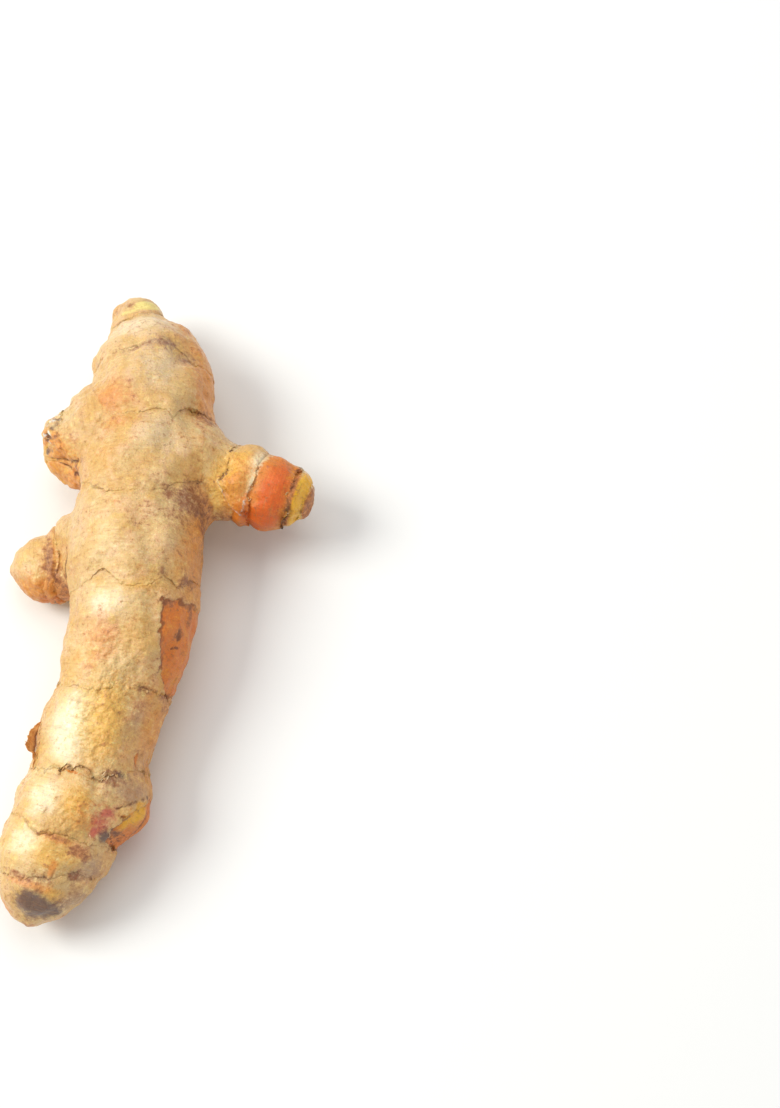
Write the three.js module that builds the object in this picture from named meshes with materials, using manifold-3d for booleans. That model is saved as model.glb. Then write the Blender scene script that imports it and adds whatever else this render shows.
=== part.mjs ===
// A fresh turmeric rhizome lying on its side: a thick ringed main finger, one plump side finger,
// one short side finger and the stub of a third that was snapped off, all grown as one piece.
// Millimetres, +Z up, +Y towards the end where it was broken from the mother plant.
// The origin is on the resting plane, under the middle of the whole rhizome.
import * as THREE from "three";
import { mergeVertices } from "three/addons/utils/BufferGeometryUtils.js";
import Module from "manifold-3d";

const wasm = await Module();
wasm.setup();

// Each limb grows along a smooth axis. A station is x, y, z of the axis and the girth radius there,
// from the old end to the growing tip. Round a limb, angles are in degrees: 90 is up, 270 is down,
// and 0 is the side to the left of the growth direction, which is +X on the main finger.
// A ring is the scar of a scale leaf: how far along the axis it sits, how strongly its edge stands
// up, and the course of the edge as pairs of an angle and the distance ahead of the ring there.
// A knob is a local swelling, or a hollow where its height is negative: where it sits, its height,
// its length along the limb and its width.
const mainFinger = {
  sides: 48,
  stations: [
    [-6.5, 56.2, 10.0, 2.6],
    [-5.9, 52.0, 10.0, 4.0],
    [-4.9, 47.6, 10.4, 6.6],
    [-3.7, 43.4, 10.9, 9.0],
    [-2.9, 37.0, 11.3, 10.5],
    [-3.0, 22.0, 11.9, 11.0],
    [-3.7, 6.0, 11.9, 11.1],
    [-4.5, -8.0, 11.0, 10.0],
    [-9.3, -27.0, 9.7, 8.7],
    [-12.3, -36.4, 9.3, 9.0],
    [-15.4, -44.6, 8.7, 8.5],
    [-17.9, -51.6, 7.6, 5.7],
    [-19.5, -56.2, 6.6, 0.9],
  ],
  domes: [2.6, 1.4],
  rings: [
    {
      at: 6.3,
      strength: 0.9,
      edge: [[0, 0.5], [42, -0.3], [70, 0.2], [101, 0.4], [126, 0.6], [270, 0]],
    },
    {
      at: 15.2,
      strength: 0.4,
      edge: [[0, 3.0], [38, 2.8], [60, 0.5], [80, 0], [103, 0.4], [128, -0.5], [180, 0], [270, 0.5]],
    },
    {
      at: 28.0,
      strength: 0.7,
      edge: [[0, -1.2], [45, -1.1], [60, 1.1], [68, 0], [92, 0.9], [137, 1.4], [180, 1], [270, 0]],
    },
    {
      at: 41.0,
      strength: 0.8,
      edge: [[0, -1.8], [26, -1.9], [52, -0.5], [62, 1], [90, 1.8], [110, 2], [133, 0], [180, -2], [270, -1]],
    },
    {
      at: 57.3,
      strength: 0.7,
      edge: [[0, -1.6], [19, -1.4], [43, 0], [56, -1], [75, 1], [89, 1.5], [113, -1.7], [142, 1], [270, 0]],
    },
    {
      at: 75.0,
      strength: 0.4,
      edge: [[5, -1.2], [23, -1.7], [48, -0.7], [66, -1.4], [88, 0.9], [100, 1.8], [180, 1], [270, -1.2]],
    },
    {
      at: 89.5,
      strength: 1.3,
      edge: [[0, -3.4], [26, -2.7], [45, -0.8], [62, 1.1], [85, -0.4], [105, 1.7], [151, 2.1], [270, -2]],
    },
    {
      at: 99.7,
      strength: 0.9,
      edge: [[5, -0.9], [36, -0.1], [71, 0.1], [102, 1.1], [122, -0.5], [180, -0.5], [270, -0.5]],
    },
    {
      at: 106.3,
      strength: 0.5,
      edge: [[0, -2.2], [29, -1.5], [44, -1.9], [69, -0.1], [97, 1.3], [133, 2], [180, 1.8], [270, -0.5]],
    },
  ],
  knobs: [
    { at: 93.2, angle: 352, height: 2.9, length: 3.8, width: 7.0 },
    { at: 14.5, angle: 355, height: 1.6, length: 4.0, width: 8.0 },
    { at: 107.5, angle: 8, height: 1.2, length: 4.0, width: 5.0 },
    { at: 12.0, angle: 180, height: 0.7, length: 2.5, width: 5.0 },
    { at: 19.5, angle: 180, height: -1.2, length: 4.0, width: 6.0 },
    { at: 39.5, angle: 180, height: -0.8, length: 3.0, width: 5.0 },
    { at: 50.0, angle: 0, height: -0.5, length: 6.0, width: 6.0 },
    { at: 66.0, angle: 8, height: 0.6, length: 6.0, width: 7.0 },
    { at: 83.0, angle: 185, height: 0.7, length: 5.0, width: 8.0 },
    { at: 28.0, angle: 268, height: 0.9, length: 6.5, width: 7.0 },
    { at: 59.0, angle: 292, height: 1.5, length: 7.0, width: 6.0 },
    { at: 95.0, angle: 268, height: 0.6, length: 5.5, width: 6.0 },
  ],
};

const rightFinger = {
  sides: 26,
  stations: [
    [-1.5, 24.8, 10.8, 8.2],
    [6.3, 22.3, 11.0, 6.7],
    [11.1, 20.6, 11.2, 6.4],
    [16.9, 18.4, 11.3, 6.3],
    [22.1, 16.8, 11.1, 5.2],
    [26.3, 15.6, 10.8, 1.6],
  ],
  domes: [2.0, 1.6],
  rings: [
    {
      at: 13.9,
      strength: 0.4,
      edge: [[0, 0], [60, -0.4], [97, 0.5], [118, -0.4], [136, 1.4], [155, 3], [270, 0.6]],
    },
    { at: 19.0, strength: 0.8, edge: [[0, 0], [71, -0.3], [105, 0.2], [157, -0.4], [270, 0.4]] },
    { at: 25.0, strength: 0.9, edge: [[0, 0], [74, -0.2], [105, -0.2], [143, 0.9], [176, 0.2], [270, 0]] },
  ],
  knobs: [],
};

const leftFinger = {
  sides: 24,
  stations: [
    [-4.5, 10.0, 9.4, 8.2],
    [-11.5, 8.3, 7.5, 6.9],
    [-15.9, 6.7, 6.0, 5.6],
    [-20.5, 6.0, 5.3, 5.2],
    [-26.4, 5.0, 5.2, 2.7],
  ],
  domes: [2.0, 2.6],
  rings: [
    { at: 13.3, strength: 0.8, edge: [[25, 1.3], [57, 0.5], [95, -0.5], [180, 0], [270, 0.6]] },
    { at: 15.6, strength: 0.8, edge: [[30, 0.4], [54, 0], [84, -0.5], [110, -0.3], [180, 0.2], [270, 0]] },
  ],
  knobs: [{ at: 12.0, angle: 180, height: 1.5, length: 3.5, width: 5.0 }],
};

const brokenFinger = {
  sides: 24,
  stations: [
    [-2.5, 29.4, 10.8, 9.6],
    [-10.1, 28.2, 10.6, 9.2],
    [-15.1, 26.8, 10.2, 7.6],
    [-21.3, 25.4, 9.6, 4.2],
  ],
  domes: [2.0, 2.2],
  rings: [{ at: 14.2, strength: 0.6, edge: [[0, 0], [90, 0.4], [180, -0.3]] }],
  knobs: [],
};
// The break on the stub faces out of this plane.
const breakPlane = { at: [-17.5, 21.8, 9.8], normal: [-0.73, -0.62, 0.26] };

// The skin climbs to the edge of each scale leaf, drops over it and fills out again.
const scaleEdge = { lip: 0.3, drop: 0.3, edge: 0.35, rise: 2.2, recovery: 2.8 };
const wanderReach = 4.0; // the stretch of skin each side of a ring that follows its edge
const internodeSwell = 0.55; // how far the flesh bulges between two rings

// Fineness of the surface.
const ringRows = [-3.4, -1.3, 0, 0.35, 1.7, 3.6]; // rows of points before and after each ring
const domeRows = [0.06, 0.3, 1]; // rows within a closed end, as shares of its length
const widestGap = 3.2; // between rows elsewhere
const narrowestGap = 0.04;
const lengthSamples = 400; // for measuring along an axis
const curveTension = 0.5;
const cutBlock = 160; // side of the blocks that cut the rhizome flat

const fullTurn = 360; // degrees
const radians = THREE.MathUtils.degToRad;
const up = new THREE.Vector3(0, 0, 1);

// The axis and its girth as two curves on one parameter, with the axis measured by length.
function spineOf(limb) {
  const points = limb.stations.map(([x, y, z]) => new THREE.Vector3(x, y, z));
  const axis = new THREE.CatmullRomCurve3(points, false, "catmullrom", curveTension);
  axis.arcLengthDivisions = lengthSamples;
  const girths = limb.stations.map(([, , , r]) => new THREE.Vector3(r, 0, 0));
  const girth = new THREE.CatmullRomCurve3(girths, false, "catmullrom", curveTension);
  return { axis, girth, length: axis.getLength() };
}

// How far a ring's edge strays from a flat circle at an angle, in millimetres along the limb:
// straight between the pairs of its course, which closes on itself after a full turn.
function strayOf(ring, angle) {
  const turn = THREE.MathUtils.euclideanModulo(THREE.MathUtils.radToDeg(angle), fullTurn);
  const [firstAngle, firstAhead] = ring.edge[0];
  const [lastAngle, lastAhead] = ring.edge.at(-1);
  const course = [
    [lastAngle - fullTurn, lastAhead],
    ...ring.edge,
    [firstAngle + fullTurn, firstAhead],
  ];
  const next = course.findIndex(([mark]) => mark > turn);
  const [before, aheadBefore] = course[next - 1];
  const [after, aheadAfter] = course[next];
  return THREE.MathUtils.mapLinear(turn, before, after, aheadBefore, aheadAfter);
}

// Rows are laid out on straight rings, and each is then pushed along to follow its scale edge.
function alongAt(limb, row, angle) {
  return limb.rings.reduce(
    (along, ring) => along + strayOf(ring, angle) * Math.exp(-(((row - ring.at) / wanderReach) ** 2)),
    row,
  );
}

// Height of the scale leaf's edge at full strength, where x is the distance past the ring.
function scaleRelief(x) {
  const { lip, drop, edge, rise, recovery } = scaleEdge;
  if (x <= 0) return lip * Math.exp(x / rise);
  if (x < edge) return THREE.MathUtils.lerp(lip, -drop, x / edge);
  return -drop * Math.exp((edge - x) / recovery);
}

// The flesh between two rings bulges as half a sine wave.
function swellAt(limb, row, length) {
  const marks = [0, ...limb.rings.map((ring) => ring.at), length];
  const next = marks.findIndex((mark) => mark > row);
  if (next < 1) return 0;
  const share = (row - marks[next - 1]) / (marks[next] - marks[next - 1]);
  return internodeSwell * Math.sin(Math.PI * share);
}

// A knob fades out as a bell curve, along the limb and round it.
function knobHeight(limb, row, angle, radius) {
  return limb.knobs.reduce((sum, knob) => {
    const turn = angle - radians(knob.angle);
    const across = (Math.atan2(Math.sin(turn), Math.cos(turn)) * radius) / knob.width;
    const along = (row - knob.at) / knob.length;
    return sum + knob.height * Math.exp(-along * along - across * across);
  }, 0);
}

// Both ends close as domes: a share of the full radius, from 0 at the end to 1 inside it.
function domeShare(limb, row, length) {
  const fromEnds = [row / limb.domes[0], (length - row) / limb.domes[1]];
  return fromEnds.reduce((share, x) => share * Math.sqrt(1 - (1 - Math.min(x, 1)) ** 2), 1);
}

// A point of the skin, by its row along the limb and its angle round it.
function surfacePoint(limb, spine, row, angle) {
  const nearEnd = domeShare(limb, row, spine.length);
  const along = THREE.MathUtils.clamp(alongAt(limb, row, angle), 0, spine.length);
  const share = THREE.MathUtils.lerp(row, along, nearEnd) / spine.length;
  const t = spine.axis.getUtoTmapping(share);
  const forward = spine.axis.getTangent(t);
  const side = new THREE.Vector3().crossVectors(up, forward).normalize();
  const over = new THREE.Vector3().crossVectors(forward, side);
  const girth = spine.girth.getPoint(t).x;
  const relief = limb.rings.reduce(
    (sum, ring) => sum + ring.strength * scaleRelief(row - ring.at),
    0,
  );
  const proud = swellAt(limb, row, spine.length) + relief + knobHeight(limb, row, angle, girth);
  const radius = (girth + proud) * nearEnd;
  return spine.axis
    .getPoint(t)
    .addScaledVector(side, radius * Math.cos(angle))
    .addScaledVector(over, radius * Math.sin(angle));
}

// Rows crowd round each ring and towards both ends, and fill the open stretches evenly.
function rowsOf(limb, length) {
  const fixed = [
    ...domeRows.map((share) => share * limb.domes[0]),
    ...domeRows.map((share) => length - share * limb.domes[1]),
    ...limb.rings.flatMap((ring) => ringRows.map((step) => ring.at + step)),
  ];
  const inside = fixed.filter((x) => x > 0 && x < length).sort((a, b) => a - b);
  const spread = inside.filter((x, i) => i === 0 || x - inside[i - 1] > narrowestGap);
  return spread.flatMap((x, i) => {
    const gap = (spread[i + 1] ?? x) - x;
    const steps = Math.max(1, Math.ceil(gap / widestGap));
    return Array.from({ length: steps }, (_, k) => x + (gap * k) / steps);
  });
}

// One closed surface: rings of points joined by quads, with a point at each end.
function limbGeometry(limb) {
  const spine = spineOf(limb);
  const rows = rowsOf(limb, spine.length);
  const positions = [];
  const add = (p) => positions.push(p.x, p.y, p.z) / 3 - 1;
  const oldEnd = add(spine.axis.getPoint(0));
  const first = oldEnd + 1;
  for (const row of rows) {
    for (let k = 0; k < limb.sides; k++) {
      add(surfacePoint(limb, spine, row, (2 * Math.PI * k) / limb.sides));
    }
  }
  const tip = add(spine.axis.getPoint(1));
  const index = [];
  const at = (row, k) => first + row * limb.sides + (k % limb.sides);
  for (let k = 0; k < limb.sides; k++) {
    index.push(oldEnd, at(0, k + 1), at(0, k));
    for (let row = 0; row + 1 < rows.length; row++) {
      index.push(at(row, k), at(row, k + 1), at(row + 1, k + 1));
      index.push(at(row, k), at(row + 1, k + 1), at(row + 1, k));
    }
    index.push(tip, at(rows.length - 1, k), at(rows.length - 1, k + 1));
  }
  const geometry = new THREE.BufferGeometry();
  geometry.setAttribute("position", new THREE.Float32BufferAttribute(positions, 3));
  geometry.setIndex(index);
  return geometry;
}

// A closed geometry as a solid that can be joined and cut.
function solidOf(geometry) {
  const plain = geometry.clone();
  plain.deleteAttribute("normal");
  plain.deleteAttribute("uv");
  const merged = mergeVertices(plain);
  const vertProperties = new Float32Array(merged.attributes.position.array);
  const triVerts = new Uint32Array(merged.index.array);
  return new wasm.Manifold(new wasm.Mesh({ numProp: 3, vertProperties, triVerts }));
}

// A block that fills the space on the outer side of a plane.
function blockBeyond(point, normal) {
  const block = new THREE.BoxGeometry(cutBlock, cutBlock, cutBlock).translate(0, 0, cutBlock / 2);
  const outward = new THREE.Vector3(...normal).normalize();
  const turn = new THREE.Quaternion().setFromUnitVectors(up, outward);
  return block.applyQuaternion(turn).translate(...point);
}

// A finished solid as a geometry with smooth shading.
function geometryOf(solid) {
  const mesh = solid.getMesh();
  const geometry = new THREE.BufferGeometry();
  geometry.setAttribute("position", new THREE.BufferAttribute(mesh.vertProperties, 3));
  geometry.setIndex(new THREE.BufferAttribute(mesh.triVerts, 1));
  geometry.computeVertexNormals();
  return geometry;
}

const stub = solidOf(limbGeometry(brokenFinger)).subtract(
  solidOf(blockBeyond(breakPlane.at, breakPlane.normal)),
);
const grown = [mainFinger, rightFinger, leftFinger]
  .map((limb) => solidOf(limbGeometry(limb)))
  .reduce((whole, limb) => whole.add(limb), stub);

// The underside is worn flat where the rhizome rests.
const rested = grown.subtract(solidOf(blockBeyond([0, 0, 0], [0, 0, -1])));

const skin = new THREE.MeshStandardMaterial({ color: 0xc9955a, roughness: 0.55, metalness: 0 });
const root = new THREE.Mesh(geometryOf(rested), skin);
root.name = "turmeric_root";

const rhizome = new THREE.Group();
rhizome.add(root);

export default rhizome;
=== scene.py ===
# A fresh turmeric rhizome on a pale floor: its skin, torn scale edges and finish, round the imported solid.
import math
import bpy
import numpy as np
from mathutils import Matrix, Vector


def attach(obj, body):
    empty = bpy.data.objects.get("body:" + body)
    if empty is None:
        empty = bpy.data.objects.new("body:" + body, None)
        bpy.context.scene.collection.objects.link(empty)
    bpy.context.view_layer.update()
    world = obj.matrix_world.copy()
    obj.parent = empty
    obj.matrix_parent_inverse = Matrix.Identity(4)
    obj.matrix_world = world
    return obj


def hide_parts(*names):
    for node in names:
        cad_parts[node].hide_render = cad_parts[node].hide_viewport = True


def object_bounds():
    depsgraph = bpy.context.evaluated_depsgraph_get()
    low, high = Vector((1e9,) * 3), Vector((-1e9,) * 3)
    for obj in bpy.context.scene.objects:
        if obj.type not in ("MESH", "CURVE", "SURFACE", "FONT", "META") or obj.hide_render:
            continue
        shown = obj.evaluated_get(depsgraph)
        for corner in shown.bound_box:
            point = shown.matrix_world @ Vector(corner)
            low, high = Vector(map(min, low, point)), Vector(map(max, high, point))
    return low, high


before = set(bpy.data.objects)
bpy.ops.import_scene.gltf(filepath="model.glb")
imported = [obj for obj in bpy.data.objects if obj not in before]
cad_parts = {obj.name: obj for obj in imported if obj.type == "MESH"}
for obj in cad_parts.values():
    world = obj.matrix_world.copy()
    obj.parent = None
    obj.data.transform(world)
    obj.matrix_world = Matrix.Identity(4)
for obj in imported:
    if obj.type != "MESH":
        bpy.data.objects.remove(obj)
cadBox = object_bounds()
mm = 0.001

# Camera: the photograph looks down at the rhizome from the front, with room left on the right.
view = {"elevation": 70, "distance": 318, "aim": (39.55, 7, 10), "lens": 60, "sensor": 36}

# Limbs. A station is x, y, z of the limb's axis and its girth radius there, in millimetres, from the
# old end to the tip. Round a limb, angles are in degrees: 90 is up and 0 is to the left of growth.
# A ring is the scar of a scale leaf: its place along the limb, how strongly its edge stands up, how
# jagged it is, how much of it shows as pairs of angle and share, and its edge as pairs of angle and
# distance ahead. A knob is a local swelling: its place, angle, height, half length and half width.
mainFinger = {
    "sides": 208, "spacing": 0.4, "domes": (2.6, 1.4), "seed": 3,
    "stations": [
        (-6.5, 56.2, 10, 2.6), (-5.9, 52, 10, 4), (-4.9, 47.6, 10.4, 6.6),
        (-3.7, 43.4, 10.9, 9), (-2.9, 37, 11.3, 10.5), (-3, 22, 11.9, 11),
        (-3.7, 6, 11.9, 11.1), (-4.5, -8, 11, 10), (-9.3, -27, 9.7, 8.7),
        (-12.3, -36.4, 9.3, 9), (-15.4, -44.6, 8.7, 8.5), (-17.9, -51.6, 7.6, 5.7),
        (-19.5, -56.2, 6.6, 0.9),
    ],
    "rings": [
        {"at": 6.3, "strength": 0.9, "jag": 0.12,
         "show": [(0, 0.8), (60, 0.5), (100, 0.4), (126, 0.9)],
         "edge": [(0, 0.5), (42, -0.3), (70, 0.2), (101, 0.4), (126, 0.6), (270, 0)]},
        {"at": 15.2, "strength": 0.4, "jag": 0.25,
         "show": [(0, 1), (40, 0.5), (70, 0.4), (130, 0.3), (180, 1)],
         "edge": [(0, 3), (38, 2.8), (48, 1.6), (60, 0.5), (80, 0), (103, 0.4), (128, -0.5), (180, 0),
                  (270, 0.5)]},
        {"at": 28, "strength": 0.6, "jag": 0.25,
         "show": [(20, 1), (50, 0.8), (60, 1.1), (85, 0.8), (95, 0.5), (108, 0.2), (130, 0.15), (180, 1)],
         "edge": [(0, -1.2), (25, -1.4), (45, -1.1), (54, -0.6), (57, 0.2), (60, 1.1), (66, 0), (73, -0.1),
                  (83, 0.5), (92, 0.9), (109, 0.9), (126, 0.8), (137, 1.4), (180, 1), (270, 0)]},
        {"at": 41, "strength": 0.7, "jag": 0.18,
         "show": [(20, 1), (50, 0.7), (60, 0.3), (90, 0.3), (108, 0.6), (130, 0.7), (137, 0.3), (180, 1)],
         "edge": [(0, -1.8), (26, -1.9), (39, -1.3), (52, -0.5), (57, 0.2), (62, 1), (75, 1.6), (90, 1.8),
                  (101, 2.1), (115, 1.8), (126, 0.8), (133, -0.1), (148, -1.2), (180, -2), (270, -1)]},
        {"at": 57.3, "strength": 0.55, "jag": 0.2,
         "show": [(20, 1), (50, 0.9), (60, 0.3), (92, 0.4), (98, 1.1), (113, 1.1), (120, 0.5), (140, 0.3),
                  (190, 1)],
         "edge": [(0, -1.6), (19, -1.4), (32, -0.2), (43, 0.2), (51, -0.4), (56, -0.8), (69, 0.8), (77, 1),
                  (89, 1.3), (97, 0.6), (104, -0.5), (113, -1.6), (122, -0.7), (134, 0.5), (142, 1.2),
                  (200, 0.5), (270, 0)]},
        {"at": 75, "strength": 0.5, "jag": 0.3,
         "show": [(10, 1), (36, 1.2), (50, 1), (58, 0.4), (90, 0.4), (140, 0.3), (190, 1)],
         "edge": [(5, -1.2), (23, -1.7), (37, -1.3), (48, -0.7), (66, -1.4), (75, -0.6), (88, 0.9),
                  (100, 1.8), (112, 1.6), (142, 1.5), (180, 1), (270, -1.2)]},
        {"at": 89.5, "strength": 0.9, "jag": 0.4, "line": 0.8,
         "show": [(0, 0.8), (40, 0.6), (55, 0.9), (76, 1), (98, 0.7), (104, 0.8), (110, 0.3), (140, 0.25),
                  (190, 1)],
         "edge": [(0, -3.4), (26, -2.7), (39, -2), (45, -0.8), (55, -0.7), (60, 0.8), (64, 1.1), (74, 0.3),
                  (85, -0.4), (91, 0.5), (100, 0.2), (103, 0.8), (105, 1.7), (115, 1.6), (124, 2.1),
                  (151, 2.1), (200, 1), (270, -2)]},
        {"at": 99.7, "strength": 0.8, "jag": 0.2,
         "show": [(10, 1), (50, 0.4), (70, 0.6), (92, 0.7), (101, 1), (118, 1.2), (125, 0.3), (150, 0.3),
                  (190, 1)],
         "edge": [(5, -0.9), (36, -0.1), (56, 0.4), (71, 0.1), (91, 0.7), (102, 1.1), (112, 0.5),
                  (122, -0.5), (129, -0.4), (180, -0.5), (270, -0.5)]},
        {"at": 106.3, "strength": 0.35, "jag": 0.3,
         "edge": [(0, -2.2), (29, -1.5), (44, -1.9), (55, -1.1), (69, -0.1), (82, 0.5), (97, 1.3),
                  (111, 1.9), (133, 2), (180, 1.8), (270, -0.5)]},
    ],
    "knobs": [
        (93.2, 352, 2.9, 3.8, 7), (14.5, 355, 1.6, 4, 8), (107.5, 8, 1.2, 4, 5),
        (12, 180, 0.7, 2.5, 5), (19.5, 180, -1.2, 4, 6), (39.5, 180, -0.8, 3, 5),
        (50, 0, -0.5, 6, 6), (66, 8, 0.6, 6, 7), (83, 185, 0.7, 5, 8),
        (28, 268, 0.9, 6.5, 7), (59, 292, 1.5, 7, 6), (95, 268, 0.6, 5.5, 6),
    ],
}
rightFinger = {
    "sides": 112, "spacing": 0.4, "domes": (2, 1.6), "seed": 11, "fillet": 5.0,
    "stations": [
        (-1.5, 24.8, 10.8, 8.2), (6.3, 22.3, 11, 6.7), (11.1, 20.6, 11.2, 6.4), (16.9, 18.4, 11.3, 6.3),
        (22.1, 16.8, 11.1, 5.2), (26.3, 15.6, 10.8, 1.6),
    ],
    "rings": [
        {"at": 13.9, "strength": 0.25, "jag": 0.2, "line": 0.6, "edge": [
            (0, 0), (60, -0.4), (97, 0.5), (118, -0.4), (136, 1.4), (155, 3.6), (180, 3), (270, 0.6)]},
        {"at": 19, "strength": 0.75, "jag": 0.2, "line": 0.15, "edge": [
            (0, 0), (71, -0.3), (105, 0.2), (157, -0.4), (270, 0.4)]},
        {"at": 25, "strength": 0.9, "jag": 0.25, "edge": [
            (0, 0), (74, -0.2), (105, -0.2), (143, 0.9), (176, 0.2), (270, 0)]},
        {"at": 27.6, "strength": 0.4, "jag": 0.2, "edge": [(0, 0), (90, 0.3), (180, -0.2)]},
    ],
    "knobs": [],
}
leftFinger = {
    "sides": 104, "spacing": 0.4, "domes": (2, 2.6), "seed": 17, "fillet": 1.6,
    "stations": [
        (-4.5, 10, 9.4, 8.2), (-11.5, 8.3, 7.5, 6.9), (-15.9, 6.7, 6, 5.6), (-20.5, 6, 5.3, 5.2),
        (-26.4, 5, 5.2, 2.7),
    ],
    "rings": [
        {"at": 13.3, "strength": 0.7, "jag": 0.2,
         "show": [(25, 1), (85, 0.8), (105, 0.3), (150, 0.3), (210, 1)],
         "edge": [(25, 1.3), (57, 0.5), (95, -0.5), (180, 0), (270, 0.6)]},
        {"at": 15.6, "strength": 0.75, "jag": 0.2,
         "show": [(25, 1), (90, 0.9), (112, 0.3), (150, 0.3), (210, 1)],
         "edge": [(30, 0.4), (54, 0), (84, -0.5), (110, -0.3), (180, 0.2), (270, 0)]},
    ],
    "knobs": [(12, 180, 1.5, 3.5, 5)],
}
brokenFinger = {
    "sides": 112, "spacing": 0.36, "domes": (2, 2.2), "seed": 23, "fillet": 2.4,
    "stations": [
        (-2.5, 29.4, 10.8, 9.6), (-10.1, 28.2, 10.6, 9.2), (-15.1, 26.8, 10.2, 7.6),
        (-21.3, 25.4, 9.6, 4.2),
    ],
    "rings": [{"at": 14.2, "strength": 0.5, "jag": 0.3, "edge": [(0, 0), (90, 0.4), (180, -0.3)]}],
    "knobs": [],
    "breakAt": (-17.5, 21.8, 9.8), "breakFacing": (-0.73, -0.62, 0.26),
}
limbs = {"main": mainFinger, "right": rightFinger, "left": leftFinger, "stub": brokenFinger}

# The scale's edge in section, at full strength: rows past the ring, how far each is drawn forward to
# overhang, and its height; then how the height fades before and after.
scaleEdge = {
    "rows": [-0.6, -0.28, -0.12, 0, 0.06, 0.12, 0.3, 0.6],
    "drawn": [0, 0.1, 0.26, 0.34, 0.22, -0.04, 0, 0],
    "height": [0.12, 0.2, 0.27, 0.22, 0.1, -0.2, -0.28, -0.26],
    "before": 1.6, "after": 2, "reach": 4, "jagReach": 1.1,
}
internodeSwell = 0.55


# Smooth noise of unit spread: a sum of sine waves in seeded random directions, of about one size.
def lumps(points, size, seed, count=16):
    draw = np.random.default_rng(seed)
    way = draw.normal(size=(count, 3))
    way *= (2 * np.pi / size * draw.uniform(0.6, 1.5, count) / np.linalg.norm(way, axis=1))[:, None]
    return np.sin(points @ way.T + draw.uniform(0, 2 * np.pi, count)).sum(-1) / math.sqrt(count / 2)


def unit(vectors):
    return vectors / np.linalg.norm(vectors, axis=1, keepdims=True)


# How far round one angle is from another, from -180 to 180 degrees.
def degreesFrom(angle, other):
    return (angle - other + 180) % 360 - 180


# Noise round a limb: a sum of seeded sine waves with whole counts, so that it closes on itself.
def roundNoise(angle, counts, seed):
    draw = np.random.default_rng(seed)
    waves = [np.sin(n * np.radians(angle) + draw.uniform(0, 2 * np.pi)) for n in counts]
    return sum(waves) / math.sqrt(len(counts) / 2)


# The axis: each stretch between two stations is a cubic whose end slopes are half the step between
# the stations on either side, and the list is mirrored past both ends.
def axisOf(limb, steps=40):
    stations = np.array(limb["stations"], float)
    ends = np.vstack([2 * stations[0] - stations[1], stations, 2 * stations[-1] - stations[-2]])
    p0, p1, p2, p3 = (ends[i:len(ends) - 3 + i, None, :] for i in range(4))
    t = np.linspace(0, 1, steps, endpoint=False)[None, :, None]
    slopeIn, slopeOut = (p2 - p0) / 2, (p3 - p1) / 2
    curve = p1 + slopeIn * t + (3 * (p2 - p1) - 2 * slopeIn - slopeOut) * t**2
    curve = curve + (2 * (p1 - p2) + slopeIn + slopeOut) * t**3
    curve = np.vstack([curve.reshape(-1, 4), stations[-1]])
    centre = curve[:, :3]
    along = np.concatenate([[0], np.cumsum(np.linalg.norm(np.diff(centre, axis=0), axis=1))])
    forward = unit(np.gradient(centre, along, axis=0))
    side = unit(np.cross([0, 0, 1.0], forward))
    return {
        "along": along, "length": along[-1], "centre": centre, "girth": curve[:, 3:],
        "forward": forward, "side": side, "over": np.cross(forward, side),
    }


# A value of the axis at any distance along it, by straight interpolation of its table.
def onAxis(axis, key, along):
    table = axis[key]
    return np.stack([np.interp(along, axis["along"], table[:, i]) for i in range(table.shape[1])], -1)


def ringStrength(ring, angle, seed):
    angles, shown = zip(*ring.get("show", [(0, 1)]))
    wander = 0.85 + 0.25 * roundNoise(angle, (2, 3, 5, 8), seed)
    return ring["strength"] * np.interp(angle, angles, shown, period=360) * np.clip(wander, 0.2, 1.3)


def ringEdge(ring, angle, seed):
    angles, ahead = zip(*ring["edge"])
    teeth = np.abs(roundNoise(angle, (13, 21, 34, 47), seed + 5)) - 0.8
    return np.interp(angle, angles, ahead, period=360), ring["jag"] * teeth


# The form of a limb without its scale edges: girth, a half sine of flesh between rings, and knobs as
# bell curves, all closed by quarter circles at the ends.
def plainRadius(limb, axis, place, angle):
    girth = onAxis(axis, "girth", place)[..., 0]
    marks = np.array([0] + [ring["at"] for ring in limb["rings"]] + [axis["length"]])
    after = np.clip(np.searchsorted(marks, place, side="right"), 1, len(marks) - 1)
    share = (place - marks[after - 1]) / (marks[after] - marks[after - 1])
    radius = girth + internodeSwell * np.sin(np.pi * np.clip(share, 0, 1))
    for at, facing, height, length, width in limb["knobs"]:
        turn = np.radians(degreesFrom(angle, facing))
        bell = ((place - at) / length)**2 + (turn * girth / width)**2
        radius = radius + height * np.exp(-bell)
    for dome, fromEnd in zip(limb["domes"], (place, axis["length"] - place)):
        radius = radius * np.sqrt(1 - (1 - np.clip(fromEnd / dome, 0, 1))**2)
    return radius


# Height and forward draw of the scale edge at a distance past the ring.
def edgeSection(past):
    rows = scaleEdge["rows"]
    height = np.interp(past, rows, scaleEdge["height"])
    height = height * np.exp(np.minimum(past - rows[0], 0) / scaleEdge["before"])
    height = height * np.exp(-np.maximum(past - rows[-1], 0) / scaleEdge["after"])
    drawn = np.interp(past, rows, scaleEdge["drawn"])
    return height, drawn


# Even rows along a limb, with the rows of the scale edge put in at each ring.
def rowsOf(limb, length):
    rings = np.array([ring["at"] for ring in limb["rings"]])
    even = np.arange(limb["spacing"], length - 0.2, limb["spacing"])
    clear = np.abs(even[:, None] - rings).min(1) > abs(scaleEdge["rows"][0]) + 0.12
    atRings = (rings[:, None] + np.array(scaleEdge["rows"])).ravel()
    atEnds = [0.02, 0.12, 0.3, length - 0.3, length - 0.12, length - 0.02]
    rows = np.unique(np.concatenate([even[clear], atRings, atEnds]).round(3))
    return rows[(rows > 0) & (rows < length)]


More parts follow.
